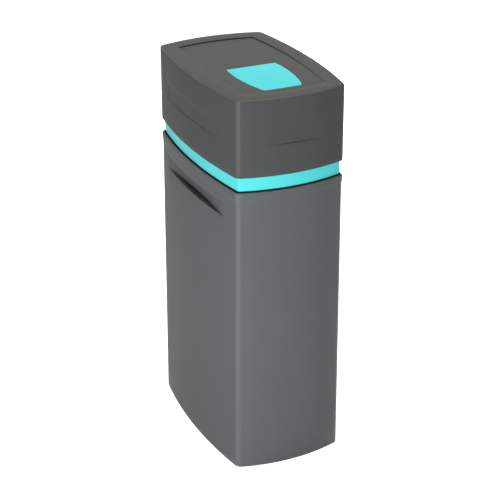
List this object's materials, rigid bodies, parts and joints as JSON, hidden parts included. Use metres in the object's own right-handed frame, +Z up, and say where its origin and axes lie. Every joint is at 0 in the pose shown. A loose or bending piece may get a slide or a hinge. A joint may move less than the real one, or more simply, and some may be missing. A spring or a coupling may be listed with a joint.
{
  "type": "cabinet water softener",
  "caption": "Cabinet water softener: bowed salt tank and coloured collar under a lift-off hood with hinged display flap; resin vessel, control valve, bypass and brine system inside.",
  "frame": {"origin": "Centre of the foot on the floor, below the middle of the cabinet", "axes": "+X to the right seen from the front, -Y towards the front, +Z up"},
  "size_m": [0.3668, 0.5768, 1.1],
  "materials": {
    "tank_plastic": "fine grain, satin",
    "hood_plastic": "fine grain, satin",
    "accent_plastic": "smooth, semi-gloss turquoise",
    "black_plastic": "moulded, satin",
    "valve_plastic": "glass-filled, matt",
    "natural_plastic": "natural white, satin",
    "button_plastic": "satin",
    "vessel_shell": "wound glass-fibre, gloss coat",
    "resin_beads": "bed of fine beads",
    "seal_rubber": "smooth",
    "line_plastic": "smooth tube",
    "blue_plastic": "satin",
    "red_plastic": "satin",
    "window_plastic": "polished dark window",
    "board_laminate": "coated laminate",
    "steel": "zinc-plated"
  },
  "bodies": {
    "cabinet": {"cabinet_body": "tank_plastic", "collar_ring": "accent_plastic", "overflow_fitting": "black_plastic", "overflow_nut": "black_plastic", "salt_grid": "natural_plastic", "vessel_boot": "black_plastic", "pressure_vessel": "vessel_shell", "resin_bed": "resin_beads", "riser_tube": "natural_plastic", "lower_distributor": "natural_plastic", "upper_distributor": "natural_plastic", "valve_body": "valve_plastic", "valve_seal": "seal_rubber", "piston_plug": "natural_plastic", "drive_bracket": "valve_plastic", "drive_motor": "steel", "bracket_screws": "steel", "injector_cap": "valve_plastic", "drain_elbow": "black_plastic", "brine_elbow": "black_plastic", "coupling_nuts": "natural_plastic", "bypass_body": "valve_plastic", "brine_well": "natural_plastic", "brine_pickup": "natural_plastic", "brine_line": "line_plastic"},
    "piston": {"piston": "natural_plastic"},
    "drive_gear": {"drive_gear": "natural_plastic"},
    "idler_gear": {"idler_gear": "natural_plastic"},
    "motor_pinion": {"motor_pinion": "natural_plastic"},
    "meter_turbine": {"meter_turbine": "natural_plastic"},
    "bypass_in": {"bypass_plug_in": "blue_plastic"},
    "bypass_out": {"bypass_plug_out": "red_plastic"},
    "float": {"float_rod": "steel", "float": "natural_plastic"},
    "well_cap": {"brine_well_cap": "natural_plastic"},
    "hood": {"hood_shell": "hood_plastic", "flap_hinge_pin": "steel", "control_housing": "black_plastic", "control_cover": "black_plastic", "display_lens": "window_plastic", "circuit_board": "board_laminate", "unit_screws": "steel", "power_inlet": "black_plastic"},
    "flap": {"display_flap": "accent_plastic"},
    "button_1": {"button_1": "button_plastic"},
    "button_2": {"button_2": "button_plastic"},
    "button_3": {"button_3": "button_plastic"},
    "button_4": {"button_4": "button_plastic"}
  },
  "joints": [
    {"name": "hood_lift", "type": "slide", "parent": "cabinet", "child": "hood", "axis": [0, 0, 1], "range_m": [0, 0.3]},
    {"name": "flap_open", "type": "hinge", "parent": "hood", "child": "flap", "pos_m": [0, -0.01202, 1.0943], "axis": [-1, 0, 0], "range_deg": [0, 95]},
    {"name": "drive_gear_spin", "type": "hinge", "parent": "cabinet", "child": "drive_gear", "pos_m": [0, 0.034, 0.925], "axis": [0, 1, 0], "range_deg": [0, 720]},
    {"name": "idler_spin", "type": "hinge", "parent": "cabinet", "child": "idler_gear", "pos_m": [0, 0.034, 0.9625], "axis": [0, 1, 0], "range_deg": [-1080, 0]},
    {"name": "pinion_spin", "type": "hinge", "parent": "cabinet", "child": "motor_pinion", "pos_m": [0, 0.034, 0.985], "axis": [0, 1, 0], "range_deg": [0, 2160]},
    {"name": "piston_slide", "type": "slide", "parent": "cabinet", "child": "piston", "axis": [0, -1, 0], "range_m": [0, 0.04]},
    {"name": "meter_spin", "type": "hinge", "parent": "cabinet", "child": "meter_turbine", "pos_m": [0.041, 0.13, 0.925], "axis": [0, 1, 0], "continuous": true},
    {"name": "bypass_in_turn", "type": "hinge", "parent": "cabinet", "child": "bypass_in", "pos_m": [-0.041, 0.206, 0.925], "axis": [0, 0, 1], "range_deg": [0, 90]},
    {"name": "bypass_out_turn", "type": "hinge", "parent": "cabinet", "child": "bypass_out", "pos_m": [0.041, 0.206, 0.925], "axis": [0, 0, -1], "range_deg": [0, 90]},
    {"name": "float_rise", "type": "slide", "parent": "cabinet", "child": "float", "axis": [0, 0, 1], "range_m": [0, 0.03]},
    {"name": "well_cap_lift", "type": "slide", "parent": "cabinet", "child": "well_cap", "axis": [0, 0, 1], "range_m": [0, 0.06]},
    {"name": "button_1_press", "type": "slide", "parent": "hood", "child": "button_1", "axis": [0, -0.0052, -1], "range_m": [0, 0.0015], "stiffness_N_per_m": 400, "springref_m": -0.0005},
    {"name": "button_2_press", "type": "slide", "parent": "hood", "child": "button_2", "axis": [0, -0.0052, -1], "range_m": [0, 0.0015], "stiffness_N_per_m": 400, "springref_m": -0.0005},
    {"name": "button_3_press", "type": "slide", "parent": "hood", "child": "button_3", "axis": [0, -0.0052, -1], "range_m": [0, 0.0015], "stiffness_N_per_m": 400, "springref_m": -0.0005},
    {"name": "button_4_press", "type": "slide", "parent": "hood", "child": "button_4", "axis": [0, -0.0052, -1], "range_m": [0, 0.0015], "stiffness_N_per_m": 400, "springref_m": -0.0005}
  ],
  "couplings": [
    {"joint": "idler_spin", "follows": "drive_gear_spin", "ratio": -1.5},
    {"joint": "pinion_spin", "follows": "drive_gear_spin", "ratio": 3},
    {"joint": "piston_slide", "follows": "drive_gear_spin", "m_per_rad": 0.0031831}
  ]
}
